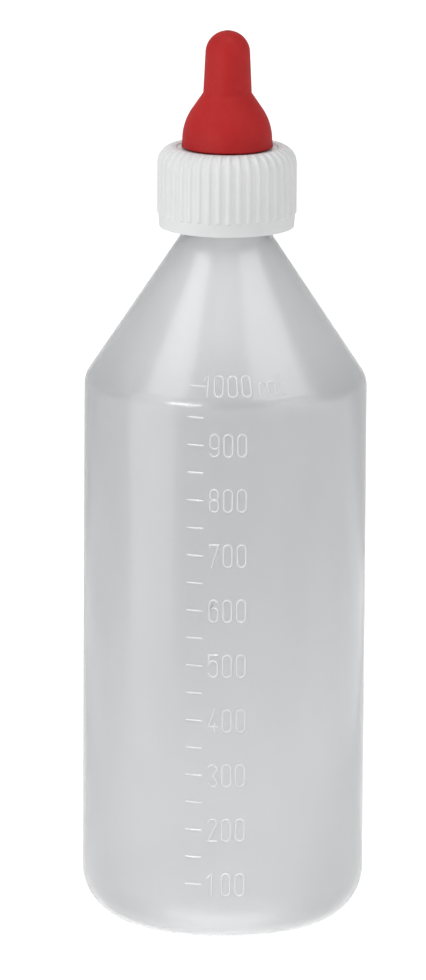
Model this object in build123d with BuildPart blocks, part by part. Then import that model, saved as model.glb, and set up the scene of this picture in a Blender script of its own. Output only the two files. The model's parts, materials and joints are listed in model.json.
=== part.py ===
"""Calf feeding bottle: a one-litre blown bottle, a ribbed screw ring and a rubber teat.

Millimetres. The origin is the centre of the base, +Z runs up the bottle's axis,
and the moulded volume scale faces -Y.
"""
import os
from math import atan, cos, hypot, radians, sin

from build123d import *

os.makedirs("parts", exist_ok=True)

# --- Bottle -------------------------------------------------------------------
BODY_RADIUS = 43.75
WALL = 0.9
BASE_CORNER = 16.5          # large radius between the base and the side wall
FOOT_INNER_RADIUS = 24.0    # the bottle stands on a flat ring outside this radius
PUSH_UP_RADIUS = 17.0       # the middle of the base is pushed up inside this radius
PUSH_UP_HEIGHT = 3.5
PUSH_UP_ROUND = 6.0         # radius of the pushed-up middle's upper bend
FOOT_ROUND = 4.0            # radius inside the foot ring
SHOULDER_Z = 171.4          # where the side wall and the cone would meet in a corner
SHOULDER_RADIUS = 8.0
CONE_SLOPE = 0.662          # radius lost for each millimetre of height
NECK_RADIUS = 13.2          # the cone reaches it just inside the ring
NECK_FILLET = 1.5
BORE_RADIUS = 11.0
RIM_Z = 239.2
RIM_CHAMFER = 0.4
CONE_APEX_Z = SHOULDER_Z + BODY_RADIUS / CONE_SLOPE

# --- Screw thread (right hand), shared by the neck and the ring ----------------
THREAD_PITCH = 4.0
NECK_THREAD_Z = 229.6       # middle of the ridge where the neck thread starts
NECK_THREAD_TURNS = 1.5
NECK_THREAD_DEPTH = 1.25
NECK_THREAD_BASE = 2.0
NECK_THREAD_CREST = 1.0
RING_THREAD_TURNS = 1.75
RING_THREAD_DEPTH = 1.2
RING_THREAD_BASE = 1.7
RING_THREAD_CREST = 0.9
FLANK_OFFSET = 1.5          # the ring's ridge runs this far under the neck's ridge
THREAD_BURY = 0.3           # how deep a ridge is rooted in its wall

# --- Screw ring -----------------------------------------------------------------
RING_BOTTOM_Z = 218.9
RING_TOP_Z = 243.75
RING_RADIUS = 21.18
RING_FOOT_RADIUS = 20.85
RING_FOOT_ROUND = 1.0
RING_EDGE_RADIUS = 5.0
RING_PLATE = 2.0
RING_HOLE_RADIUS = 12.5
SLEEVE_INNER_RADIUS = 14.75
SLEEVE_OUTER_RADIUS = 16.35
SLEEVE_BOTTOM_Z = 220.4
SKIRT_INNER_RADIUS = 19.8
SKIRT_GAP_TOP_Z = 239.2
RIB_COUNT = 42
RIB_HEIGHT = 0.42
RIB_WIDTH = 1.6
RIB_BOTTOM_Z = 223.0
RIB_SINK = 0.05             # the ribs run out just under the flat top
RIB_TURN = 1.6              # degrees that the front rib stands to the right of -Y

# --- Teat -----------------------------------------------------------------------
RUNNING_GAP = 0.1           # between the teat and the rim, plate and lip faces
GROOVE_RADIUS = 12.35
FLANGE_RADIUS = 14.25
LIP_RADIUS = 14.2
DOME_FOOT_Z = 246.0
DOME_FOOT_RADIUS = 13.9
DOME_ARC_RADIUS = 17.0
DOME_ARC_ANGLE = 36.0
SHANK_Z = 260.6
SHANK_RADIUS = 7.5
SHANK_FILLET = 1.0
TIP_RADIUS = 6.9
TEAT_TOP_Z = 280.0
TEAT_WALL = 2.1
TEAT_BORE_RADIUS = 10.4
MILK_HOLE_RADIUS = 0.9

# --- Volume scale ---------------------------------------------------------------
MARK_HEIGHT = 0.35
MARK_STROKE = 0.6
MARK_ROOT = 0.3
MARK_BLANK = 1.0            # marks are cut from blanks that reach this far either side of the wall
SCALE_FIRST_Z = 19.96       # height of the 100 ml tick
SCALE_TICKS = 18            # evenly spaced ticks, one each 50 ml
SCALE_STEP_Z = 8.654        # height of 50 ml in the straight body
SCALE_TOP_Z = 176.3         # height of the 1000 ml tick, on the cone
TICK_LENGTH = 5.3
TICK_AZIMUTH = -11.95       # degrees from -Y, positive towards +X
TICK_TILT = -2.6
DIGIT_WIDTH = 2.65          # between stroke middles
DIGIT_HEIGHT = 6.9
DIGIT_AZIMUTH = -4.26
DIGIT_PITCH = 5.57
TOP_AZIMUTHS = (-7.5, -2.9, 3.1, 9.1, 18.4, 25.4)


def wall_line(inset, neck_radius):
    """Bottle's half profile, moved inwards by inset, from the axis up to the rim."""
    radius = BODY_RADIUS - inset
    cone_inset = inset * hypot(1, CONE_SLOPE)
    shoulder_z = CONE_APEX_Z - (radius + cone_inset) / CONE_SLOPE
    neck_z = CONE_APEX_Z - (neck_radius + cone_inset) / CONE_SLOPE
    return FilletPolyline(
        (0, PUSH_UP_HEIGHT + inset),
        (PUSH_UP_RADIUS, PUSH_UP_HEIGHT + inset),
        (FOOT_INNER_RADIUS, inset),
        (radius, inset),
        (radius, shoulder_z),
        (neck_radius, neck_z),
        (neck_radius, RIM_Z),
        radius=[
            PUSH_UP_ROUND + inset,
            FOOT_ROUND - inset,
            BASE_CORNER - inset,
            SHOULDER_RADIUS - inset,
            NECK_FILLET + inset,
        ],
    )


def thread_outline(depth, base, crest, side):
    """Trapezoid ridge in a plane whose x runs radially; side is 1 outwards, -1 inwards."""
    return Polyline(
        (-side * THREAD_BURY, -base / 2),
        (0, -base / 2),
        (side * depth, -crest / 2),
        (side * depth, crest / 2),
        (0, base / 2),
        (-side * THREAD_BURY, base / 2),
        close=True,
    )


def digit_lines(character):
    """Stroke middle lines of one character, centred on the origin.

    The plain numbers are the places of its bends and stroke ends.
    """
    w = DIGIT_WIDTH / 2
    h = DIGIT_HEIGHT / 2
    if character == "0":
        CenterArc((0, h - w), w, 0, 180)
        Line((-w, h - w), (-w, w - h))
        CenterArc((0, w - h), w, 180, 180)
        Line((w, w - h), (w, h - w))
    elif character == "1":
        Polyline((-w, h - 1.3), (-0.1, h), (-0.1, -h))
    elif character == "2":
        CenterArc((0, h - w), w, -35, 200)
        bend = (w * cos(radians(-35)), h - w + w * sin(radians(-35)))
        Polyline(bend, (-w, -h), (w, -h))
    elif character == "3":
        CenterArc((0, h - w), w, -60, 220)
        CenterArc((0, w - h), w, 60, -240)
        bend = (w * cos(radians(60)), w * sin(radians(60)))
        Polyline((bend[0], h - w - bend[1]), (0.1, 0), (bend[0], w - h + bend[1]))
    elif character == "4":
        Polyline((0.45, h), (-w, -0.52 * h), (w, -0.52 * h))
        Line((0.5, -0.2 * h), (0.5, -h))
    elif character == "5":
        Polyline((w, h), (-w, h), (-w, 0.2 * h))
        CenterArc((0, 0.2 * h - 0.35), w, 0, 165)
        Line((w, 0.2 * h - 0.35), (w, w - h))
        CenterArc((0, w - h), w, 0, -165)
    elif character in "69":
        s = 1 if character == "6" else -1
        CenterArc((0, s * (h - w)), w, 20 if s > 0 else 200, 160)
        Line((-s * w, s * (h - w)), (-s * w, s * (w - h)))
        CenterArc((0, s * (w - h)), w, 180 if s > 0 else 0, 180)
        Line((s * w, s * (w - h)), (s * w, s * -0.3))
        CenterArc((0, s * -0.3), w, 0 if s > 0 else 180, 150)
    elif character == "7":
        Polyline((-w, h - 0.6), (-w, h), (w, h), (-0.5 * w, -h))
    elif character == "8":
        top = 0.88 * w
        CenterArc((0, h - top), top, -40, 260)
        CenterArc((0, w - h), w, 135, 270)
        for side in (-1, 1):
            Line(
                (side * top * cos(radians(40)), h - top - top * sin(radians(40))),
                (-side * w * cos(radians(45)), w - h + w * sin(radians(45))),
            )
    elif character == "m":
        foot = -h
        arch = 0.36 * h - w
        for side in (-1, 1):
            CenterArc((side * w, arch), w, 0, 180)
        for x in (-2 * w, 0, 2 * w):
            Line((x, arch), (x, foot))
    elif character == "l":
        Line((-0.7, h), (-0.7, -h + 1.6))
        CenterArc((0.9, -h + 1.6), 1.6, 180, 70)


def wall_plane(azimuth, z):
    """Plane that touches the bottle's outside at an azimuth and height, with x to the right."""
    on_cone = z > SHOULDER_Z
    radius = CONE_SLOPE * (CONE_APEX_Z - z) if on_cone else BODY_RADIUS
    rise = sin(atan(CONE_SLOPE)) if on_cone else 0
    flat = cos(atan(CONE_SLOPE)) if on_cone else 1
    a = radians(azimuth)
    return Plane(
        origin=(radius * sin(a), -radius * cos(a), z),
        x_dir=(cos(a), sin(a), 0),
        z_dir=(flat * sin(a), -flat * cos(a), rise),
    )


def scale_labels():
    """Every character on the scale as (character, azimuth, height)."""
    labels = []
    for hundreds in range(1, 10):
        z = SCALE_FIRST_Z + 2 * (hundreds - 1) * SCALE_STEP_Z
        for place, character in enumerate(f"{hundreds}00"):
            labels.append((character, DIGIT_AZIMUTH + place * DIGIT_PITCH, z))
    for character, azimuth in zip("1000ml", TOP_AZIMUTHS):
        labels.append((character, azimuth, SCALE_TOP_Z))
    return labels


# --- Skin in which the raised marks stand ----------------------------------------
with BuildPart() as mark_skin:
    with BuildSketch(Plane.XZ):
        with BuildLine():
            outer = wall_line(-MARK_HEIGHT, NECK_RADIUS + MARK_HEIGHT)
            inner = wall_line(MARK_ROOT, NECK_RADIUS - MARK_ROOT)
            Line(outer @ 1, inner @ 1)
            Line(outer @ 0, inner @ 0)
        make_face()
    revolve(axis=Axis.Z)

# --- Raised ticks and numbers ------------------------------------------------------
with BuildPart() as marks:
    tick_heights = [SCALE_FIRST_Z + step * SCALE_STEP_Z for step in range(SCALE_TICKS)]
    for z in tick_heights + [SCALE_TOP_Z]:
        with BuildSketch(wall_plane(TICK_AZIMUTH, z)):
            SlotOverall(TICK_LENGTH, MARK_STROKE, rotation=TICK_TILT)
        extrude(amount=MARK_BLANK, both=True)
    for character, azimuth, z in scale_labels():
        with BuildSketch(wall_plane(azimuth, z)):
            with BuildLine():
                digit_lines(character)
            trace(line_width=MARK_STROKE)
        extrude(amount=MARK_BLANK, both=True)
    add(mark_skin.part, mode=Mode.INTERSECT)

# --- Bottle ---------------------------------------------------------------------
with BuildPart() as bottle:
    with BuildSketch(Plane.XZ):
        with BuildLine():
            outside = wall_line(0, NECK_RADIUS)
            inside = wall_line(WALL, BORE_RADIUS)
            Line(outside @ 1, inside @ 1)
            Line(outside @ 0, inside @ 0)
        make_face()
    revolve(axis=Axis.Z)
    chamfer(bottle.edges().group_by(Axis.Z)[-1], length=RIM_CHAMFER)
    with BuildLine():
        neck_helix = Helix(
            pitch=THREAD_PITCH,
            height=THREAD_PITCH * NECK_THREAD_TURNS,
            radius=NECK_RADIUS,
            center=(0, 0, NECK_THREAD_Z),
        )
    with BuildSketch(Plane(origin=neck_helix @ 0, x_dir=(1, 0, 0), z_dir=neck_helix % 0)):
        with BuildLine():
            thread_outline(NECK_THREAD_DEPTH, NECK_THREAD_BASE, NECK_THREAD_CREST, 1)
        make_face()
    sweep(path=neck_helix, is_frenet=True)
    add(marks.part)
bottle.part.label = "bottle"
export_step(bottle.part, "parts/bottle.step")

# --- One grip rib, standing at azimuth +X -------------------------------------------
with BuildPart() as rib:
    with BuildSketch(Plane.XZ):
        rib_radius = RING_RADIUS + RIB_HEIGHT
        rib_root = RING_RADIUS - 2 * RIB_HEIGHT
        edge_radius = rib_radius - RING_EDGE_RADIUS
        edge_z = RING_TOP_Z - RING_EDGE_RADIUS - RIB_SINK
        with BuildLine():
            CenterArc((edge_radius, edge_z), RING_EDGE_RADIUS, 0, 90)
            Polyline(
                (edge_radius, edge_z + RING_EDGE_RADIUS),
                (edge_radius, edge_z),
                (rib_root, edge_z),
                (rib_root, RIB_BOTTOM_Z),
                (rib_radius - RIB_HEIGHT / 2, RIB_BOTTOM_Z),
                (rib_radius, RIB_BOTTOM_Z + RIB_HEIGHT),
                (rib_radius, edge_z),
            )
        make_face()
    extrude(amount=RIB_WIDTH / 2, both=True)

# --- Screw ring -----------------------------------------------------------------
with BuildPart() as screw_ring:
    with BuildSketch(Plane.XZ):
        with BuildLine():
            ring_edge = FilletPolyline(
                (RING_FOOT_RADIUS, RING_BOTTOM_Z),
                (RING_RADIUS, RIB_BOTTOM_Z),
                (RING_RADIUS, RING_TOP_Z),
                (RING_HOLE_RADIUS, RING_TOP_Z),
                radius=[RING_FOOT_ROUND, RING_EDGE_RADIUS],
            )
            Polyline(
                ring_edge @ 1,
                (RING_HOLE_RADIUS, RING_TOP_Z - RING_PLATE),
                (SLEEVE_INNER_RADIUS, RING_TOP_Z - RING_PLATE),
                (SLEEVE_INNER_RADIUS, SLEEVE_BOTTOM_Z),
                (SLEEVE_OUTER_RADIUS, SLEEVE_BOTTOM_Z),
                (SLEEVE_OUTER_RADIUS, SKIRT_GAP_TOP_Z),
                (SKIRT_INNER_RADIUS, SKIRT_GAP_TOP_Z),
                (SKIRT_INNER_RADIUS, RING_BOTTOM_Z),
                ring_edge @ 0,
            )
        make_face()
    revolve(axis=Axis.Z)
    with PolarLocations(0, RIB_COUNT, start_angle=RIB_TURN - 90):
        add(rib.part)
    with BuildLine():
        ring_helix = Helix(
            pitch=THREAD_PITCH,
            height=THREAD_PITCH * RING_THREAD_TURNS,
            radius=SLEEVE_INNER_RADIUS,
            center=(0, 0, NECK_THREAD_Z - FLANK_OFFSET - THREAD_PITCH),
        )
    with BuildSketch(Plane(origin=ring_helix @ 0, x_dir=(1, 0, 0), z_dir=ring_helix % 0)):
        with BuildLine():
            thread_outline(RING_THREAD_DEPTH, RING_THREAD_BASE, RING_THREAD_CREST, -1)
        make_face()
    sweep(path=ring_helix, is_frenet=True)
screw_ring.part.label = "screw_ring"
export_step(screw_ring.part, "parts/screw_ring.step")

# --- Teat -----------------------------------------------------------------------
plate_bottom_z = RING_TOP_Z - RING_PLATE
dome_centre_radius = DOME_FOOT_RADIUS - DOME_ARC_RADIUS
tip_z = TEAT_TOP_Z - TIP_RADIUS


def dome_line(inset):
    """Teat's half profile above the lip, moved inwards by inset, up to the axis."""
    arc_radius = DOME_ARC_RADIUS - inset
    dome = CenterArc((dome_centre_radius, DOME_FOOT_Z), arc_radius, 0, DOME_ARC_ANGLE)
    FilletPolyline(
        dome @ 1,
        (SHANK_RADIUS - inset, SHANK_Z - inset * sin(radians(DOME_ARC_ANGLE))),
        (TIP_RADIUS - inset, tip_z),
        radius=SHANK_FILLET + inset,
    )
    CenterArc((0, tip_z), TIP_RADIUS - inset, 0, 90)
    return dome


with BuildPart() as teat:
    with BuildSketch(Plane.XZ):
        with BuildLine():
            outer_dome = dome_line(0)
            inner_dome = dome_line(TEAT_WALL)
            Line((0, TEAT_TOP_Z), (0, TEAT_TOP_Z - TEAT_WALL))
            Polyline(
                outer_dome @ 0,
                (LIP_RADIUS, RING_TOP_Z + RUNNING_GAP),
                (GROOVE_RADIUS, RING_TOP_Z + RUNNING_GAP),
                (GROOVE_RADIUS, plate_bottom_z - RUNNING_GAP),
                (FLANGE_RADIUS, plate_bottom_z - RUNNING_GAP),
                (FLANGE_RADIUS, RIM_Z + RUNNING_GAP),
                (TEAT_BORE_RADIUS, RIM_Z + RUNNING_GAP),
                (TEAT_BORE_RADIUS, RING_TOP_Z),
                inner_dome @ 0,
            )
        make_face()
    revolve(axis=Axis.Z)
    with BuildSketch(Plane.XY.offset(tip_z)):
        Circle(MILK_HOLE_RADIUS)
    extrude(amount=2 * TIP_RADIUS, mode=Mode.SUBTRACT)
teat.part.label = "teat"
export_step(teat.part, "parts/teat.step")
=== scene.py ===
import json
from math import atan, cos, degrees, hypot, pi, radians, sin, tau

import bpy
import numpy as np
from mathutils import Matrix, Vector

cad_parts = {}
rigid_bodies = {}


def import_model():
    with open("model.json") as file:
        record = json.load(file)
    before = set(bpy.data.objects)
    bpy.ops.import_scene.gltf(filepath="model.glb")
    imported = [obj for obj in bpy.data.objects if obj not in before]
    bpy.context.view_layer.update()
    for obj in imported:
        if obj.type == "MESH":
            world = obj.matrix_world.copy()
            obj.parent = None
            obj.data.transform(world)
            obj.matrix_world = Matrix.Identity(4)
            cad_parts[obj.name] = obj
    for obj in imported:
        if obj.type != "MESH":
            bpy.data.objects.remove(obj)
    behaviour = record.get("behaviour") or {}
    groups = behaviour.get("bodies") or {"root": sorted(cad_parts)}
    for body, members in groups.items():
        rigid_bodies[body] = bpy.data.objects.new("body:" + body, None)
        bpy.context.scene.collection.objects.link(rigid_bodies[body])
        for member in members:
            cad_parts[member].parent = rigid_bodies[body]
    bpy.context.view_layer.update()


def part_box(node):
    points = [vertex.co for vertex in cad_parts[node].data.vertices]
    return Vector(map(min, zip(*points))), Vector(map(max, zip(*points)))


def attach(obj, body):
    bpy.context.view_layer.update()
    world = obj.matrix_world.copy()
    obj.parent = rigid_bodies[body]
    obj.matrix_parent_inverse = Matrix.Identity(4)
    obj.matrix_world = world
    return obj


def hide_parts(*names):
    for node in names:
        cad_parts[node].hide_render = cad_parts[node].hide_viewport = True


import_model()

MM = 0.001

# --- Sizes read from the frame, in millimetres ------------------------------------
_, bottle_high = (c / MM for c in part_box("bottle"))
ring_low, ring_high = (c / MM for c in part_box("screw_ring"))
teat_low, teat_high = (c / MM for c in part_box("teat"))

# --- Bottle -------------------------------------------------------------------------
BODY_RADIUS = 43.75
WALL = 0.9
BASE_CORNER = 16.5
FOOT_INNER_RADIUS = 24.0
PUSH_UP_RADIUS = 17.0
PUSH_UP_HEIGHT = 3.5
PUSH_UP_ROUND = 6.0
FOOT_ROUND = 4.0
SHOULDER_Z = 171.4
SHOULDER_RADIUS = 8.0
CONE_SLOPE = 0.662
NECK_RADIUS = 13.2
NECK_FILLET = 1.5
BORE_RADIUS = 11.0
RIM_Z = bottle_high.z
RIM_ROUND = 0.5
CONE_APEX_Z = SHOULDER_Z + BODY_RADIUS / CONE_SLOPE
CONE_HALF_ANGLE = atan(CONE_SLOPE)
BOTTLE_SEGMENTS = 256
# pairs of heights between which the plastic looks thicker, and between which painted shade darkens the
# base's corner
THICK_BOTTOM = (3, 6)
CORNER_SHADE_STARTS = (4, 7.5)
CORNER_SHADE_ENDS = (10, 15)
THICK_SHOULDER = (SHOULDER_Z - 6, SHOULDER_Z + 14)

# --- Screw thread ---------------------------------------------------------------------
THREAD_PITCH = 4.0
NECK_THREAD_Z = 229.6
NECK_THREAD_TURNS = 1.5
NECK_THREAD = {"depth": 1.25, "base": 2.0, "crest": 1.0}
RING_THREAD_TURNS = 1.75
RING_THREAD = {"depth": 1.2, "base": 1.7, "crest": 0.9}
RING_THREAD_DROP = 1.5      # the ring's ridge runs this far under the neck's ridge
RING_THREAD_Z = NECK_THREAD_Z - RING_THREAD_DROP - THREAD_PITCH
THREAD_FADE = radians(14)
THREAD_ROW = 0.2            # height between grid rows where a thread is

# --- Screw ring -----------------------------------------------------------------------
RING_BOTTOM_Z = ring_low.z
RING_TOP_Z = ring_high.z
RING_RADIUS = 21.18
RING_FOOT_RADIUS = 20.85
RING_FOOT_ROUND = 1.0       # where the tapered foot meets the ribbed wall
RING_FOOT_LIP = 0.3
RING_EDGE_RADIUS = 5.0
RING_PLATE = 2.0
RING_RECESS = 0.4
RING_RECESS_RADIUS = 15.9
RING_RECESS_ROUND = 0.1
RING_HOLE_RADIUS = 12.5
RING_HOLE_ROUND = 0.3
SLEEVE_INNER_RADIUS = 14.75
SLEEVE_OUTER_RADIUS = 16.35
SLEEVE_BOTTOM_Z = 220.4
SKIRT_INNER_RADIUS = 19.8
SKIRT_GAP_TOP_Z = 239.2
RIB_COUNT = 42
RIB_HEIGHT = 0.42
RIB_SEGMENTS = 12
RIB_BOTTOM_Z = 223.0
RIB_FOOT = 0.45             # height in which a rib rises from the smooth band
RIB_HALF_WIDTH = 0.68       # share of half the rib spacing, flank included
RIB_FLANK = 0.6
RIB_END = 88                # degrees round the top edge at which a rib has run out
RIB_RUN_OUT = 14
RIB_TURN = radians(1.6 - 90)
RIB_END_POWER = 0.6         # makes both ends of a rib round
RING_SEGMENTS = RIB_COUNT * RIB_SEGMENTS

# --- Teat -----------------------------------------------------------------------------
RUNNING_GAP = 0.1
GROOVE_RADIUS = 12.35
FLANGE_RADIUS = teat_high.x
FLANGE_TOP_Z = RING_TOP_Z - RING_PLATE - RUNNING_GAP
LIP_RADIUS = 14.2
DOME_FOOT_Z = 246.0
DOME_FOOT_RADIUS = 13.9
DOME_ARC_RADIUS = 17.0
DOME_ARC_ANGLE = radians(36)
SHANK_Z = 260.6
SHANK_RADIUS = 7.5
SHANK_FILLET = 1.2
TIP_RADIUS = 6.9
TEAT_TOP_Z = 280.0
TEAT_WALL = 2.1
TEAT_BORE_RADIUS = 10.4
MILK_HOLE_RADIUS = 0.9
TEAT_SEGMENTS = 192

MOULDED_SHARP_ANGLE = 50    # degrees between faces, for the ring and the teat

# --- Volume scale ---------------------------------------------------------------------
MARK_HEIGHT = 0.30
MARK_STROKE = 0.72
MARK_ROOT = 0.25
# a mark's flank, in shares of half the stroke and of the height
MARK_FLANK = [(1, 0), (0.84, 0.22), (0.48, 0.70), (0.24, 0.93)]
MARK_END_ANGLES = np.radians([35, 65, 84])
MARK_CUT = 0.7              # longest piece of a stroke
MARK_TIGHTEST_MITRE = 0.6
MARK_SHARP_ANGLE = 32
SCALE_FIRST_Z = 19.96
SCALE_TICKS = 18
SCALE_STEP_Z = 8.654
SCALE_TOP_Z = 176.3
TICK_LENGTH = 5.3
TICK_AZIMUTH = -11.95
TICK_TILT = radians(-2.6)
DIGIT_WIDTH = 2.65
DIGIT_HEIGHT = 6.9
DIGIT_AZIMUTH = -4.26
DIGIT_PITCH = 5.57
TOP_AZIMUTHS = (-7.5, -2.9, 3.1, 9.1, 18.4, 25.4)

# --- Stage, in metres -----------------------------------------------------------------
CAMERA_DISTANCE = 3.3826
CAMERA_HEIGHT = 0.8461
CAMERA_PITCH = radians(11.865)
CAMERA_YAW = radians(0.0626)
CAMERA_ROLL = radians(0.365)
CAMERA_LENS = 408.96        # millimetres, on a 36 mm sensor
WORLD_FRONT = 0.15
WORLD_BACK = 0.78
WORLD_TURNS = (0.1, 0.8)    # shares of the way from the side to straight behind
FLOOR_HALF_SIZE = 6.0
FLOOR_GLOW_NEAR = 1.05
FLOOR_GLOW_FAR = 0.67
FLOOR_GLOW_RADII = (0.05, 0.6)
FLOOR_GLOW_UNDER = 1.0      # light that comes up through the bottle's bottom
FLOOR_GLOW_UNDER_RADII = (0.018, 0.034)
LANE_HALF_WIDTH = 0.04
BESIDE_GLOW = 0.8           # share of the glow that is left beside the lane behind the object
BESIDE_STARTS = (radians(12), radians(20))
BESIDE_ENDS = (radians(40), radians(60))
PANEL_STEP = 0.01           # between the panels of one softbox, which overlap


# === Profiles ===========================================================================
def rounded(points, radii, step=6.0, run=3.0):
    """Smooth polyline from corner points, cut every step degrees of arc and every run mm.

    Each of the radii rounds one corner, from the second point on.
    """
    points = [np.array(p, float) for p in points]
    nodes = [[points[0]]]
    for before, corner, after, radius in zip(points, points[1:], points[2:], radii):
        a = (before - corner) / np.linalg.norm(before - corner)
        b = (after - corner) / np.linalg.norm(after - corner)
        half = np.arccos(np.clip(a @ b, -1, 1)) / 2
        if radius <= 0 or half > radians(89.9):
            nodes.append([corner])
            continue
        reach = radius / np.tan(half)
        middle = (a + b) / np.linalg.norm(a + b)
        centre = corner + middle * radius / sin(half)
        start = corner + a * reach - centre
        end = corner + b * reach - centre
        turn = pi - 2 * half
        sign = 1 if start[0] * end[1] > start[1] * end[0] else -1
        count = max(2, int(np.ceil(degrees(turn) / step)))
        nodes.append([
            centre + [start[0] * cos(t) - start[1] * sin(t), start[0] * sin(t) + start[1] * cos(t)]
            for t in np.linspace(0, sign * turn, count + 1)
        ])
    nodes.append([points[-1]])
    line = list(nodes[0])
    for arc in nodes[1:]:
        gap = np.linalg.norm(arc[0] - line[-1])
        cuts = int(gap / run)
        line += [line[-1] + (arc[0] - line[-1]) * k / (cuts + 1) for k in range(1, cuts + 1)]
        line += arc
    return np.array(line)


def lathe_points(profile, segments, bulge=None):
    """Grid of points around Z, of shape (rows, segments, 3).

    bulge(theta, radius, z) is how far each point moves along the profile's normal.
    """
    theta = np.arange(segments) * tau / segments
    along = np.gradient(profile, axis=0)
    normal = np.stack([along[:, 1], -along[:, 0]], 1)
    normal /= np.maximum(np.linalg.norm(normal, axis=1), 1e-9)[:, None]
    amount = np.zeros((len(profile), segments))
    if bulge is not None:
        amount = bulge(theta[None, :], profile[:, 0][:, None], profile[:, 1][:, None])
    radius = profile[:, 0][:, None] + amount * normal[:, 0][:, None]
    height = profile[:, 1][:, None] + amount * normal[:, 1][:, None]
    return np.stack([radius * np.cos(theta), radius * np.sin(theta), height + 0 * theta], 2)


def mesh_object(name, grids, closed_loop):
    """One object from row grids joined end to end.

    closed_loop joins the last row to the first. Otherwise the first and last rows lie on the axis
    and shrink to one vertex each.
    """
    rows = np.concatenate(grids)
    count, segments = rows.shape[:2]
    verts = []
    index = np.zeros((count, segments), int)
    for i in range(count):
        pole = not closed_loop and i in (0, count - 1)
        if pole:
            index[i] = len(verts)
            verts.append(rows[i].mean(0))
        else:
            index[i] = len(verts) + np.arange(segments)
            verts.extend(rows[i])
    faces = []
    last = count if closed_loop else count - 1
    for i in range(last):
        a, b = index[i], index[(i + 1) % count]
        for j in range(segments):
            k = (j + 1) % segments
            quad = [a[j], a[k], b[k], b[j]]
            faces.append([v for n, v in enumerate(quad) if v != quad[n - 1]])
    mesh = bpy.data.meshes.new(name)
    mesh.from_pydata((np.array(verts) * MM).tolist(), [], [list(map(int, f)) for f in faces])
    mesh.validate()
    mesh.update()
    piece = bpy.data.objects.new(name, mesh)
    bpy.context.scene.collection.objects.link(piece)
    face_outwards(mesh)
    return piece


def face_outwards(mesh):
    """Turns a closed mesh's faces outwards, by its volume about its own middle, and shades it smooth."""
    middle = Vector(np.mean([v.co for v in mesh.vertices], axis=0))
    volume = sum((p.center - middle).dot(p.normal) * p.area for p in mesh.polygons)
    if volume < 0:
        mesh.flip_normals()
    mesh.shade_smooth()


def sharpen(piece, angle):
    """Marks edges that turn by more than angle degrees as sharp, so that they shade as corners."""
    piece.data.set_sharp_from_angle(angle=radians(angle))


# === Screw thread =======================================================================
def eased(share):
    """0 to 1 with a soft start and a soft end."""
    return share * share * (3 - 2 * share)


def thread_height(theta, z, start_z, turns, shape):
    """Height of a helical ridge at (theta, z), with ends that run out."""
    total = np.zeros(np.broadcast(theta, z).shape)
    for turn in range(-1, int(turns) + 2):
        angle = theta + tau * turn
        middle = start_z + THREAD_PITCH * angle / tau
        ends = np.clip(np.minimum(angle, turns * tau - angle) / THREAD_FADE, 0, 1)
        off = np.abs(z - middle)
        flank = np.clip((shape["base"] / 2 - off) / (shape["base"] / 2 - shape["crest"] / 2), 0, 1)
        total = np.maximum(total, shape["depth"] * eased(ends) * eased(flank))
    return total


def thread_rows(start_z, turns, shape):
    """Heights of the closely spaced rows that a thread needs, from just under it to just over it."""
    margin = shape["base"] / 2 + THREAD_ROW
    return np.arange(start_z - margin, start_z + turns * THREAD_PITCH + margin, THREAD_ROW)


# === Bottle =============================================================================
def wall_corners(inset, neck_radius):
    """Corners of the bottle's half profile, moved inwards by inset, from the axis up to the neck."""
    radius = BODY_RADIUS - inset
    cone_inset = inset * hypot(1, CONE_SLOPE)
    return [
        (0, PUSH_UP_HEIGHT + inset),
        (PUSH_UP_RADIUS, PUSH_UP_HEIGHT + inset),
        (FOOT_INNER_RADIUS, inset),
        (radius, inset),
        (radius, CONE_APEX_Z - (radius + cone_inset) / CONE_SLOPE),
        (neck_radius, CONE_APEX_Z - (neck_radius + cone_inset) / CONE_SLOPE),
    ]


def wall_radii(inset):
    """Rounding of the corners of wall_corners, from the second on."""
    return [
        PUSH_UP_ROUND + inset,
        FOOT_ROUND - inset,
        BASE_CORNER - inset,
        SHOULDER_RADIUS - inset,
        NECK_FILLET + inset,
    ]


def bottle_shell():
    """The blown bottle without its scale: outside, neck, rim and inside in one closed wall."""
    rows = thread_rows(NECK_THREAD_Z, NECK_THREAD_TURNS, NECK_THREAD)
    neck = np.array([(NECK_RADIUS, z) for z in rows])
    below_thread = (NECK_RADIUS, rows[0] - THREAD_ROW)
    above_thread = (NECK_RADIUS, rows[-1] + THREAD_ROW)
    bore_top = (BORE_RADIUS, RIM_Z - 4 * RIM_ROUND)
    outside = rounded(wall_corners(0, NECK_RADIUS) + [below_thread], wall_radii(0))
    rim = rounded(
        [above_thread, (NECK_RADIUS, RIM_Z), (BORE_RADIUS, RIM_Z), bore_top],
        [RIM_ROUND, RIM_ROUND], step=15,
    )
    inside = rounded(wall_corners(WALL, BORE_RADIUS) + [bore_top], wall_radii(WALL))[::-1]

    def neck_thread(theta, r, z):
        return thread_height(theta, z, NECK_THREAD_Z, NECK_THREAD_TURNS, NECK_THREAD)

    grids = [
        lathe_points(outside, BOTTLE_SEGMENTS),
        lathe_points(neck, BOTTLE_SEGMENTS, neck_thread),
        lathe_points(rim, BOTTLE_SEGMENTS),
        lathe_points(inside[1:], BOTTLE_SEGMENTS),
    ]
    return mesh_object("bottle_wall", grids, closed_loop=False)


# --- Raised scale ---
def arc(centre, radius, start, sweep, step=12.0):
    """Points on an arc, from the angle start over sweep degrees."""
    count = max(3, int(abs(sweep) / step))
    angles = np.radians(np.linspace(start, start + sweep, count + 1))
    return [(centre[0] + radius * cos(t), centre[1] + radius * sin(t)) for t in angles]


def oval(half, bottom, top):
    """Closed upright loop with round ends."""
    upper = arc((0, top - half), half, 0, 180)
    lower = arc((0, bottom + half), half, 180, 180)
    return upper + lower + [upper[0]]


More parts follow.
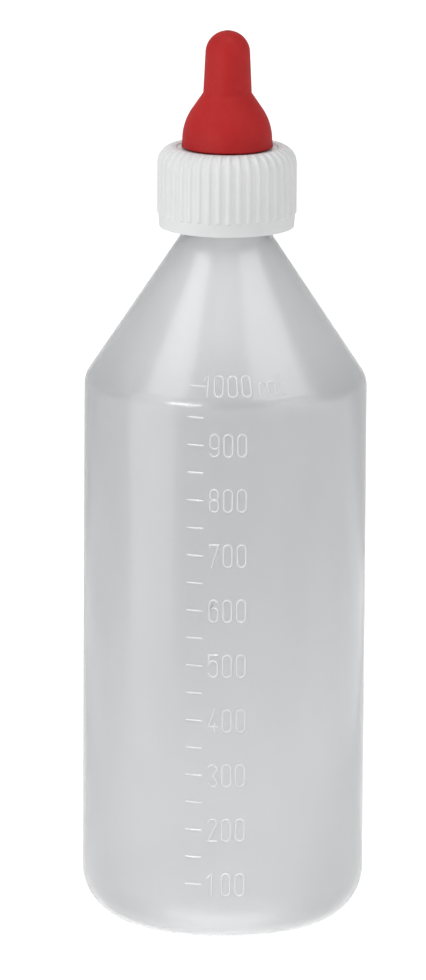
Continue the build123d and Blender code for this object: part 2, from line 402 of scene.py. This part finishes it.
def strokes(character):
    """Stroke middle lines of one character, in millimetres about its centre.

    The plain numbers are the places of its bends and stroke ends.
    """
    w = DIGIT_WIDTH / 2
    h = DIGIT_HEIGHT / 2
    if character == "0":
        return [oval(w, -h, h)]
    if character == "1":
        return [[(-w, h - 1.3), (-0.1, h), (-0.1, -h)]]
    if character == "2":
        return [arc((0, h - w), w, 165, -200) + [(-w, -h), (w, -h)]]
    if character == "3":
        return [arc((0, h - w), w, 160, -220) + [(0.1, 0)] + arc((0, w - h), w, 60, -220)]
    if character == "4":
        return [[(0.45, h), (-w, -0.52 * h), (w, -0.52 * h)], [(0.5, -0.2 * h), (0.5, -h)]]
    if character == "5":
        bowl = arc((0, 0.2 * h - 0.35), w, 165, -165) + arc((0, w - h), w, 0, -165)
        return [[(w, h), (-w, h), (-w, 0.2 * h)], bowl]
    if character in "69":
        s = 1 if character == "6" else -1
        turn = 0 if s > 0 else 180
        body = arc((0, s * (h - w)), w, 20 + turn, 160) + arc((0, s * (w - h)), w, 180 + turn, 180)
        return [body + arc((0, -0.3 * s), w, turn, 150)]
    if character == "7":
        return [[(-w, h - 0.6), (-w, h), (w, h), (-0.5 * w, -h)]]
    if character == "8":
        waist = 0.08 * h
        return [oval(0.92 * w, waist - 0.15, h), oval(w, -h, waist + 0.15)]
    if character == "m":
        arch = 0.36 * h - w
        humps = [arc((side * w, arch), w, 0, 180) for side in (-1, 1)]
        return humps + [[(x, arch), (x, -h)] for x in (-2 * w, 0, 2 * w)]
    # "l", with a hook at its foot
    return [[(-0.7, h)] + arc((0.9, -h + 1.6), 1.6, 180, 70)]


def on_wall(azimuth, z, x, y, height):
    """Point height mm off the bottle's wall, x mm to the right of an azimuth and y mm up from z."""
    if z > SHOULDER_Z:
        middle = CONE_SLOPE * (CONE_APEX_Z - z)
        radius = middle - y * sin(CONE_HALF_ANGLE)
        angle = radians(azimuth) + x / radius
        radius += height * cos(CONE_HALF_ANGLE)
        up = z + y * cos(CONE_HALF_ANGLE) + height * sin(CONE_HALF_ANGLE)
    else:
        angle = radians(azimuth) + x / BODY_RADIUS
        radius = BODY_RADIUS + height
        up = z + y
    return (radius * sin(angle), -radius * cos(angle), up)


def ridge(line, azimuth, z):
    """Vertices and faces of one raised stroke with a rounded back, along a line drawn on the wall."""
    verts, faces = [], []
    line = np.array(line, float)
    loop = np.linalg.norm(line[0] - line[-1]) < 1e-6
    if loop:
        line = line[:-1]
    fine = []
    for a, b in zip(line, np.roll(line, -1, 0)):
        cuts = max(1, int(np.linalg.norm(b - a) / MARK_CUT))
        fine += [a + (b - a) * k / cuts for k in range(cuts)]
    if not loop:
        closing = max(1, int(np.linalg.norm(line[0] - line[-1]) / MARK_CUT))
        fine = fine[:-closing] + [line[-1]]
    fine = np.array(fine)
    half = MARK_STROKE / 2
    before = np.roll(fine, 1, 0)
    after = np.roll(fine, -1, 0)
    if not loop:
        before[0] = fine[0]
        after[-1] = fine[-1]
    sections = []
    for p, b, a in zip(fine, before, after):
        into = (p - b) / max(np.linalg.norm(p - b), 1e-9)
        out = (a - p) / max(np.linalg.norm(a - p), 1e-9)
        along = into + out
        along /= np.linalg.norm(along)
        across = np.array([-along[1], along[0]])
        mitre = 1
        if into.any() and out.any():
            half_turn_cosine = np.sqrt(max(0.0, (1 + into @ out) / 2))
            mitre = 1 / max(MARK_TIGHTEST_MITRE, half_turn_cosine)
        sections.append((p, across * mitre, 1.0))
    if not loop:
        for end, inner, at in ((0, 1, "insert"), (-1, -2, "append")):
            p, across, _ = sections[end]
            along = fine[end] - fine[inner]
            along /= np.linalg.norm(along)
            caps = [(p + along * half * sin(t), across, cos(t)) for t in MARK_END_ANGLES]
            sections = caps[::-1] + sections if at == "insert" else sections + caps
    ring = [(1, -1)] + MARK_FLANK + [(0, 1)] + [(-u, v) for u, v in MARK_FLANK[::-1]] + [(-1, -1)]
    for p, across, size in sections:
        for u, v in ring:
            height = v * MARK_HEIGHT * size if v > 0 else v * MARK_ROOT
            q = p + across * half * u * size
            verts.append(on_wall(azimuth, z, q[0], q[1], height))
    n, m = len(sections), len(ring)
    for i in range(n if loop else n - 1):
        for j in range(m):
            a, b = i * m, ((i + 1) % n) * m
            faces.append([a + j, a + (j + 1) % m, b + (j + 1) % m, b + j])
    if not loop:
        faces.append(list(range(m))[::-1])
        faces.append([(n - 1) * m + j for j in range(m)])
    return verts, faces


def scale_strokes():
    """Collection with every raised stroke as its own closed mesh object."""
    lines = []
    tick = TICK_LENGTH / 2 - MARK_STROKE / 2
    tick_line = [(side * tick * cos(TICK_TILT), side * tick * sin(TICK_TILT)) for side in (-1, 1)]
    heights = [SCALE_FIRST_Z + k * SCALE_STEP_Z for k in range(SCALE_TICKS)] + [SCALE_TOP_Z]
    for z in heights:
        lines.append((tick_line, TICK_AZIMUTH, z))
    for hundreds in range(1, 10):
        z = SCALE_FIRST_Z + 2 * (hundreds - 1) * SCALE_STEP_Z
        for place, character in enumerate(f"{hundreds}00"):
            for line in strokes(character):
                lines.append((line, DIGIT_AZIMUTH + place * DIGIT_PITCH, z))
    for character, azimuth in zip("1000ml", TOP_AZIMUTHS):
        for line in strokes(character):
            lines.append((line, azimuth, SCALE_TOP_Z))
    collection = bpy.data.collections.new("scale_strokes")
    for k, (line, azimuth, z) in enumerate(lines):
        verts, faces = ridge(line, azimuth, z)
        mesh = bpy.data.meshes.new(f"stroke_{k}")
        mesh.from_pydata((np.array(verts) * MM).tolist(), [], faces)
        mesh.validate()
        mesh.update()
        face_outwards(mesh)
        collection.objects.link(bpy.data.objects.new(f"stroke_{k}", mesh))
    return collection


def applied(piece):
    """Replaces the piece's mesh by its evaluated mesh and drops the modifiers."""
    depsgraph = bpy.context.evaluated_depsgraph_get()
    mesh = bpy.data.meshes.new_from_object(piece.evaluated_get(depsgraph))
    piece.modifiers.clear()
    piece.data = mesh
    return piece


def make_bottle():
    """The bottle's wall with the raised scale joined to it in one mesh."""
    piece = bottle_shell()
    collection = scale_strokes()
    bpy.context.scene.collection.children.link(collection)
    union = piece.modifiers.new("scale", "BOOLEAN")
    union.operation = "UNION"
    union.operand_type = "COLLECTION"
    union.collection = collection
    union.solver = "MANIFOLD"
    applied(piece)
    for stroke in list(collection.objects):
        bpy.data.objects.remove(stroke)
    bpy.data.collections.remove(collection)
    piece.data.shade_smooth()
    sharpen(piece, MARK_SHARP_ANGLE)
    mark_thickness_and_highlight(piece.data)
    return piece


def mark_thickness_and_highlight(mesh):
    """Stores how far each point stands proud of the wall, from 0 to 1: where the plastic is thicker, and
    where the material paints a highlight on the marks.
    """
    co = np.empty(3 * len(mesh.vertices))
    mesh.vertices.foreach_get("co", co)
    x, y, z = co.reshape(-1, 3).T / MM
    radius = np.hypot(x, y)
    proud = np.where(
        z > SHOULDER_Z,
        (radius - CONE_SLOPE * (CONE_APEX_Z - z)) * cos(CONE_HALF_ANGLE),
        radius - BODY_RADIUS,
    )
    proud = np.where(z > SCALE_TOP_Z + DIGIT_HEIGHT, 0, proud)
    thick_and_highlight = mesh.attributes.new("thick_and_highlight", "FLOAT", "POINT")
    thick_and_highlight.data.foreach_set("value", np.clip(proud / MARK_HEIGHT, 0, 1))


# === Screw ring ===========================================================================
def make_ring():
    """The screw ring: ribbed skirt, top plate with its hole, and threaded sleeve inside the skirt."""
    flat_z = RING_TOP_Z - RING_RECESS
    edge = rounded(
        [(RING_FOOT_RADIUS, RING_BOTTOM_Z + RING_FOOT_LIP), (RING_RADIUS, RIB_BOTTOM_Z),
         (RING_RADIUS, RING_TOP_Z), (RING_RECESS_RADIUS, RING_TOP_Z),
         (RING_RECESS_RADIUS - RING_RECESS, flat_z), (RING_HOLE_RADIUS + 2 * RING_HOLE_ROUND, flat_z)],
        [RING_FOOT_ROUND, RING_EDGE_RADIUS, RING_RECESS_ROUND, RING_RECESS_ROUND], step=5, run=0.45,
    )
    rows = thread_rows(RING_THREAD_Z, RING_THREAD_TURNS, RING_THREAD)[::-1]
    thread_wall = np.array([(SLEEVE_INNER_RADIUS, z) for z in rows])
    plate_z = RING_TOP_Z - RING_PLATE
    hole = rounded(
        [edge[-1], (RING_HOLE_RADIUS, flat_z), (RING_HOLE_RADIUS, plate_z),
         (SLEEVE_INNER_RADIUS, plate_z), (SLEEVE_INNER_RADIUS, rows[0] + THREAD_ROW)],
        [RING_HOLE_ROUND, 0.2, 0.4], step=30, run=1.5,
    )[1:]
    inner = rounded(
        [(SLEEVE_INNER_RADIUS, rows[-1] - THREAD_ROW),
         (SLEEVE_INNER_RADIUS, SLEEVE_BOTTOM_Z), (SLEEVE_OUTER_RADIUS, SLEEVE_BOTTOM_Z),
         (SLEEVE_OUTER_RADIUS, SKIRT_GAP_TOP_Z), (SKIRT_INNER_RADIUS, SKIRT_GAP_TOP_Z),
         (SKIRT_INNER_RADIUS, RING_BOTTOM_Z), (RING_FOOT_RADIUS, RING_BOTTOM_Z), edge[0]],
        [0.2, 0.3, 0.6, 0.6, 0.2, 0.25], step=30, run=3,
    )[:-1]

    def grip(theta, r, z):
        """Rounded ribs that end above the smooth foot and run out over the rounded top edge."""
        phase = (theta - RIB_TURN) * RIB_COUNT / tau
        wave = np.abs((phase + 0.5) % 1 - 0.5) * 2
        crest = eased(np.clip((RIB_HALF_WIDTH - wave) / RIB_FLANK, 0, 1))
        edge_r = RING_RADIUS - RING_EDGE_RADIUS
        edge_z = RING_TOP_Z - RING_EDGE_RADIUS
        over = np.degrees(np.arctan2(z - edge_z, r - edge_r))
        foot = np.clip((z - RIB_BOTTOM_Z) / RIB_FOOT, 0, 1) ** RIB_END_POWER
        top = np.clip((RIB_END - over) / RIB_RUN_OUT, 0, 1) ** RIB_END_POWER
        return RIB_HEIGHT * crest * foot * top * (r > edge_r)

    def thread(theta, r, z):
        return thread_height(theta, z, RING_THREAD_Z, RING_THREAD_TURNS, RING_THREAD)

    grids = [
        lathe_points(edge, RING_SEGMENTS, grip),
        lathe_points(hole, RING_SEGMENTS),
        lathe_points(thread_wall, RING_SEGMENTS, thread),
        lathe_points(inner, RING_SEGMENTS),
    ]
    piece = mesh_object("grip_ring", grids, closed_loop=True)
    sharpen(piece, MOULDED_SHARP_ANGLE)
    return piece


# === Teat =================================================================================
def make_teat():
    """The hollow teat: dome, shank and tip, the groove for the ring's plate, and the flange on the rim."""
    centre = DOME_FOOT_RADIUS - DOME_ARC_RADIUS
    tip_z = TEAT_TOP_Z - TIP_RADIUS

    def dome(inset):
        """Profile from the foot of the dome to the milk hole."""
        radius = DOME_ARC_RADIUS - inset
        start = [
            (centre + radius * cos(t), DOME_FOOT_Z + radius * sin(t))
            for t in np.linspace(0, DOME_ARC_ANGLE, 16)
        ]
        shank_foot = (SHANK_RADIUS - inset, SHANK_Z - inset * sin(DOME_ARC_ANGLE))
        shank = rounded(
            [start[-1], shank_foot, (TIP_RADIUS - inset, tip_z)],
            [SHANK_FILLET + inset], step=8, run=0.8,
        )
        tip = TIP_RADIUS - inset
        last = np.arccos(MILK_HOLE_RADIUS / tip)
        cap = [(tip * cos(t), tip_z + tip * sin(t)) for t in np.linspace(0, last, 24)]
        return start[:-1] + list(shank[:-1]) + cap

    outer = dome(0)
    inner = dome(TEAT_WALL)[::-1]
    lip_z = RING_TOP_Z + RUNNING_GAP
    foot = rounded(
        [inner[-1], (TEAT_BORE_RADIUS, RING_TOP_Z), (TEAT_BORE_RADIUS, teat_low.z),
         (FLANGE_RADIUS, teat_low.z), (FLANGE_RADIUS, FLANGE_TOP_Z),
         (GROOVE_RADIUS, FLANGE_TOP_Z), (GROOVE_RADIUS, lip_z), (LIP_RADIUS, lip_z), outer[0]],
        [1.0, 0.4, 0.5, 0.5, 0.2, 0.2, 0.3], step=20, run=0.8,
    )[1:-1]
    profile = np.array(list(outer) + list(inner) + list(foot))
    piece = mesh_object("rubber_teat", [lathe_points(profile, TEAT_SEGMENTS)], closed_loop=True)
    sharpen(piece, MOULDED_SHARP_ANGLE)
    return piece


# === Materials ============================================================================
def new_material(name):
    """A material, its node tree and its main shader."""
    material = bpy.data.materials.new(name)
    material.use_nodes = True
    tree = material.node_tree
    return material, tree, tree.nodes["Principled BSDF"]


def noise_node(tree, scale, detail, stretch=(1, 1, 1)):
    """Noise in object coordinates, with features of about 1/scale metres."""
    where = tree.nodes.new("ShaderNodeTexCoord")
    mapping = tree.nodes.new("ShaderNodeMapping")
    mapping.inputs["Scale"].default_value = stretch
    tree.links.new(where.outputs["Object"], mapping.inputs["Vector"])
    node = tree.nodes.new("ShaderNodeTexNoise")
    node.inputs["Scale"].default_value = scale
    node.inputs["Detail"].default_value = detail
    node.inputs["Roughness"].default_value = 0.55
    tree.links.new(mapping.outputs["Vector"], node.inputs["Vector"])
    return node.outputs["Fac"]


def ranged(tree, value, low, high, start=0.3, end=0.7):
    """value from start..end mapped to low..high. low and high are numbers or other nodes' outputs."""
    node = tree.nodes.new("ShaderNodeMapRange")
    node.inputs["From Min"].default_value = start
    node.inputs["From Max"].default_value = end
    for socket, amount in (("To Min", low), ("To Max", high)):
        if isinstance(amount, (int, float)):
            node.inputs[socket].default_value = amount
        else:
            tree.links.new(amount, node.inputs[socket])
    tree.links.new(value, node.inputs["Value"])
    return node.outputs["Result"]


def blended(tree, value, low, high):
    """A colour between low and high by value. Each end is a colour or another node's output."""
    node = tree.nodes.new("ShaderNodeMix")
    node.data_type = "RGBA"
    for socket, colour in (("A", low), ("B", high)):
        if isinstance(colour, tuple):
            node.inputs[socket].default_value = (*colour, 1)
        else:
            tree.links.new(colour, node.inputs[socket])
    tree.links.new(value, node.inputs["Factor"])
    return node.outputs["Result"]


def worked_out(tree, operation, *values):
    """A Math node on one or two values, each a number or another node's output."""
    node = tree.nodes.new("ShaderNodeMath")
    node.operation = operation
    for socket, value in zip(node.inputs, values):
        if isinstance(value, (int, float)):
            socket.default_value = value
        else:
            tree.links.new(value, socket)
    return node.outputs["Value"]


def bump(tree, value, height, strength, before=None):
    """A normal from value as a relief of that height in metres, on top of the normal before."""
    node = tree.nodes.new("ShaderNodeBump")
    node.inputs["Strength"].default_value = strength
    node.inputs["Distance"].default_value = height
    tree.links.new(value, node.inputs["Height"])
    if before is not None:
        tree.links.new(before, node.inputs["Normal"])
    return node.outputs["Normal"]


def bottle_material():
    """Natural polypropylene: milky, light comes through blurred, with a soft satin skin.

    The bottom, shoulder and neck are blown less than the body, so the plastic is thicker and whiter there.
    The marks stand proud of it and are whiter and less see-through: partly thicker plastic, partly a
    painted highlight. The base's corner is darker, as painted shade.
    """
    material, tree, shader = new_material("natural_polypropylene")
    cloud = ranged(tree, noise_node(tree, 28, 3, stretch=(1, 1, 0.35)), 0, 1)
    body = blended(tree, cloud, (0.79, 0.798, 0.81), (0.83, 0.838, 0.85))
    thicker = blended(tree, cloud, (0.95, 0.955, 0.96), (0.97, 0.975, 0.98))
    # painted shade: the darker colour of the base's corner
    corner_shade = (0.755, 0.763, 0.773)
    # the marks' colour: whiter for thicker plastic, and partly a painted highlight
    raised = (0.91, 0.92, 0.925)
    where = tree.nodes.new("ShaderNodeTexCoord")
    axes = tree.nodes.new("ShaderNodeSeparateXYZ")
    tree.links.new(where.outputs["Object"], axes.inputs["Vector"])

    def by_height(low, high, heights):
        """low below the two heights, high above them."""
        return ranged(tree, axes.outputs["Z"], low, high, heights[0] * MM, heights[1] * MM)

    upper = by_height(0, 1, THICK_SHOULDER)
    bottom = by_height(1, 0, THICK_BOTTOM)
    # mask of the painted shade round the base's corner
    corner = by_height(by_height(0, 1, CORNER_SHADE_STARTS), 0, CORNER_SHADE_ENDS)
    thick_and_highlight = tree.nodes.new("ShaderNodeAttribute")
    thick_and_highlight.attribute_name = "thick_and_highlight"
    # mask of the marks, for their thicker plastic and their painted highlight
    mark = ranged(tree, thick_and_highlight.outputs["Fac"], 0, 1, 0.1, 0.8)
    wall = blended(tree, worked_out(tree, "ADD", upper, bottom), body, thicker)
    wall = blended(tree, corner, wall, corner_shade)
    tree.links.new(blended(tree, mark, wall, raised), shader.inputs["Base Color"])
    # less see-through on the marks: thicker plastic, and partly the painted highlight
    milky = ranged(tree, mark, 0.87, 0.55, 0, 1)
    tree.links.new(milky, shader.inputs["Transmission Weight"])
    grain = noise_node(tree, 2600, 3)
    flow = noise_node(tree, 70, 2, stretch=(1, 1, 0.3))
    tree.links.new(ranged(tree, flow, 0.285, 0.32), shader.inputs["Roughness"])
    wavy = bump(tree, flow, 0.00005, 0.5)
    tree.links.new(bump(tree, grain, 0.000004, 0.5, wavy), shader.inputs["Normal"])
    shader.inputs["IOR"].default_value = 1.49
    shader.inputs["Coat Weight"].default_value = 0.7
    shader.inputs["Coat Roughness"].default_value = 0.15
    return material


def ring_material():
    """White moulded polypropylene: opaque, fine satin grain, a little light under the skin."""
    material, tree, shader = new_material("white_polypropylene")
    cloud = ranged(tree, noise_node(tree, 60, 3), 0, 1)
    white = blended(tree, cloud, (0.60, 0.603, 0.606), (0.64, 0.642, 0.645))
    tree.links.new(white, shader.inputs["Base Color"])
    grain = noise_node(tree, 3500, 3)
    tree.links.new(ranged(tree, noise_node(tree, 400, 3), 0.36, 0.46), shader.inputs["Roughness"])
    tree.links.new(bump(tree, grain, 0.00002, 0.4), shader.inputs["Normal"])
    shader.inputs["IOR"].default_value = 1.49
    shader.inputs["Subsurface Weight"].default_value = 0.25
    shader.inputs["Subsurface Radius"].default_value = (1, 1, 1)
    shader.inputs["Subsurface Scale"].default_value = 0.002
    return material


def teat_material():
    """Red rubber: dull, grainy, slightly cloudy."""
    material, tree, shader = new_material("red_rubber")
    cloud = ranged(tree, noise_node(tree, 90, 4), 0, 1)
    red = blended(tree, cloud, (0.345, 0.0085, 0.009), (0.395, 0.012, 0.012))
    tree.links.new(red, shader.inputs["Base Color"])
    grain = noise_node(tree, 2200, 4)
    tree.links.new(ranged(tree, noise_node(tree, 500, 3), 0.55, 0.68), shader.inputs["Roughness"])
    tree.links.new(bump(tree, grain, 0.00004, 0.5), shader.inputs["Normal"])
    shader.inputs["Specular IOR Level"].default_value = 0.22
    shader.inputs["IOR"].default_value = 1.5
    shader.inputs["Subsurface Weight"].default_value = 0.1
    shader.inputs["Subsurface Radius"].default_value = (1, 0.2, 0.1)
    shader.inputs["Subsurface Scale"].default_value = 0.002
    return material


# === Object ===============================================================================
for build, node, body, finish in (
    (make_bottle, "bottle", "bottle", bottle_material),
    (make_ring, "screw_ring", "screw_ring", ring_material),
    (make_teat, "teat", "teat", teat_material),
):
    piece = build()
    piece.data.materials.clear()
    piece.data.materials.append(finish())
    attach(piece, body)
    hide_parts(node)
    print(piece.name, "triangles", sum(len(p.vertices) - 2 for p in piece.data.polygons))


# === Stage ================================================================================
def make_floor():
    """The floor: white to the camera, and to the object grey with a glow that is brightest near by."""
    mesh = bpy.data.meshes.new("floor")
    size = FLOOR_HALF_SIZE
    corners = [(-size, -size, 0), (size, -size, 0), (size, size, 0), (-size, size, 0)]
    mesh.from_pydata(corners, [], [(0, 1, 2, 3)])
    floor = bpy.data.objects.new("floor", mesh)
    bpy.context.scene.collection.objects.link(floor)
    material, tree, shader = new_material("pale_floor")
    cloud = ranged(tree, noise_node(tree, 6, 2), 0, 1)
    grey = blended(tree, cloud, (0.24, 0.24, 0.24), (0.26, 0.26, 0.26))
    tree.links.new(grey, shader.inputs["Base Color"])
    shader.inputs["Roughness"].default_value = 0.8
    shader.inputs["Emission Color"].default_value = (1, 1, 1, 1)
    where = tree.nodes.new("ShaderNodeTexCoord")
    radius = tree.nodes.new("ShaderNodeVectorMath")
    radius.operation = "LENGTH"
    tree.links.new(where.outputs["Object"], radius.inputs[0])
    glow = ranged(tree, radius.outputs["Value"], FLOOR_GLOW_NEAR, FLOOR_GLOW_FAR, *FLOOR_GLOW_RADII)
    around = worked_out(tree, "MULTIPLY", glow, dim_beside(tree, where.outputs["Object"], LANE_HALF_WIDTH))
    under = ranged(tree, radius.outputs["Value"], FLOOR_GLOW_UNDER, 0, *FLOOR_GLOW_UNDER_RADII)
    strength = worked_out(tree, "ADD", around, under)
    tree.links.new(white_to_camera(tree, strength), shader.inputs["Emission Strength"])
    mesh.materials.append(material)


def dim_beside(tree, place, half_width):
    """1 on a lane straight behind the object and all round its front and sides, less just beside the lane.

    The object's outline mirrors those two strips, which keeps its edges crisp against the white.
    """
    axes = tree.nodes.new("ShaderNodeSeparateXYZ")
    tree.links.new(place, axes.inputs["Vector"])
    beside = worked_out(tree, "SUBTRACT", worked_out(tree, "ABSOLUTE", axes.outputs["X"]), half_width)
    angle = worked_out(tree, "ARCTAN2", beside, axes.outputs["Y"])
    lane = ranged(tree, angle, 1, BESIDE_GLOW, *BESIDE_STARTS)
    return ranged(tree, angle, lane, 1, *BESIDE_ENDS)


def white_to_camera(tree, strength):
    """strength for the light that reaches the object, and white where the camera sees the stage itself."""
    path = tree.nodes.new("ShaderNodeLightPath")
    node = tree.nodes.new("ShaderNodeMix")
    tree.links.new(path.outputs["Is Camera Ray"], node.inputs["Factor"])
    tree.links.new(strength, node.inputs["A"])
    node.inputs["B"].default_value = 1.0
    return node.outputs["Result"]


def light_panel(name, place, facing, width, height, brightness):
    """Rectangle of even brightness, unseen by the camera itself."""
    light = bpy.data.lights.new(name, "AREA")
    light.shape = "RECTANGLE"
    light.size, light.size_y = width, height
    light.energy = brightness * width * height * pi
    lamp = bpy.data.objects.new(name, light)
    bpy.context.scene.collection.objects.link(lamp)
    lamp.location = place
    lamp.rotation_euler = Vector(facing).to_track_quat("-Z", "Y").to_euler()
    lamp.visible_camera = False


def softbox(name, azimuth, distance, width, bands):
    """Upright softbox facing the bottle's axis, azimuth degrees from -Y towards +X.

    Each band is (lowest z, highest z, share of the width, brightness).
    """
    a = radians(azimuth)
    facing = Vector((-sin(a), cos(a), 0))
    for k, (low, high, share, brightness) in enumerate(bands):
        place = -distance * facing + PANEL_STEP * k * facing
        place.z = (low + high) / 2
        light_panel(f"{name}_{k}", place, facing, share * width, high - low, brightness)


def make_camera():
    """The photograph's camera: far away, slightly above, looking down at the bottle's middle."""
    data = bpy.data.cameras.new("camera")
    data.sensor_width = 36
    data.lens = CAMERA_LENS
    data.clip_end = 50
    camera = bpy.data.objects.new("camera", data)
    bpy.context.scene.collection.objects.link(camera)
    turn = Matrix.Rotation(CAMERA_YAW, 4, "Z") @ Matrix.Rotation(pi / 2 - CAMERA_PITCH, 4, "X")
    turn = turn @ Matrix.Rotation(CAMERA_ROLL, 4, "Z")
    camera.matrix_world = Matrix.Translation((0, -CAMERA_DISTANCE, CAMERA_HEIGHT)) @ turn
    bpy.context.scene.camera = camera


def make_world():
    """Grey surroundings, brighter behind the object than in front of it, and white to the camera."""
    world = bpy.data.worlds.new("studio")
    bpy.context.scene.world = world
    world.use_nodes = True
    tree = world.node_tree
    where = tree.nodes.new("ShaderNodeTexCoord")
    axes = tree.nodes.new("ShaderNodeSeparateXYZ")
    tree.links.new(where.outputs["Generated"], axes.inputs["Vector"])
    background = tree.nodes["Background"]
    background.inputs["Color"].default_value = (0.98, 0.99, 1, 1)
    sky = ranged(tree, axes.outputs["Y"], WORLD_FRONT, WORLD_BACK, *WORLD_TURNS)
    dimmed = worked_out(tree, "MULTIPLY", sky, dim_beside(tree, where.outputs["Generated"], 0))
    tree.links.new(white_to_camera(tree, dimmed), background.inputs["Strength"])


def ceiling_light(strength, spread, heading):
    """Light from a wide patch of ceiling, as even on the floor far away as near by."""
    light = bpy.data.lights.new("ceiling_light", "SUN")
    light.energy = strength
    light.angle = radians(spread)
    lamp = bpy.data.objects.new("ceiling_light", light)
    bpy.context.scene.collection.objects.link(lamp)
    lamp.rotation_euler = Vector(heading).to_track_quat("-Z", "Y").to_euler()


make_floor()
make_camera()
make_world()
ceiling_light(strength=0.55, spread=100, heading=(0.4, 0.25, -0.9))
softbox("left_softbox", azimuth=-60, distance=0.45, width=0.33,
        bands=[(0.005, 0.5, 1, 1.2), (0.5, 0.85, 1, 2.2)])
softbox("right_softbox", azimuth=56, distance=0.5, width=0.54,
        bands=[(0.10, 0.5, 1, 0.65), (0.5, 0.9, 1, 1.9), (0.255, 0.325, 0.4, 1.4)])
softbox("cap_softbox", azimuth=-32, distance=0.45, width=0.20,
        bands=[(0.245, 0.315, 1, 8.5)])
for side, brightness in ((-1, 0.24), (1, 0.52)):
    light_panel("bounce_card", place=(side * 0.6, 0.13, 0.01), facing=(0, 0, 1),
                width=0.8, height=0.6, brightness=brightness)
light_panel("overhead_softbox", place=(-0.03, -0.18, 1.0), facing=(0, 0.1, -1),
            width=0.32, height=0.36, brightness=5.5)
bpy.context.scene.view_settings.view_transform = "Standard"
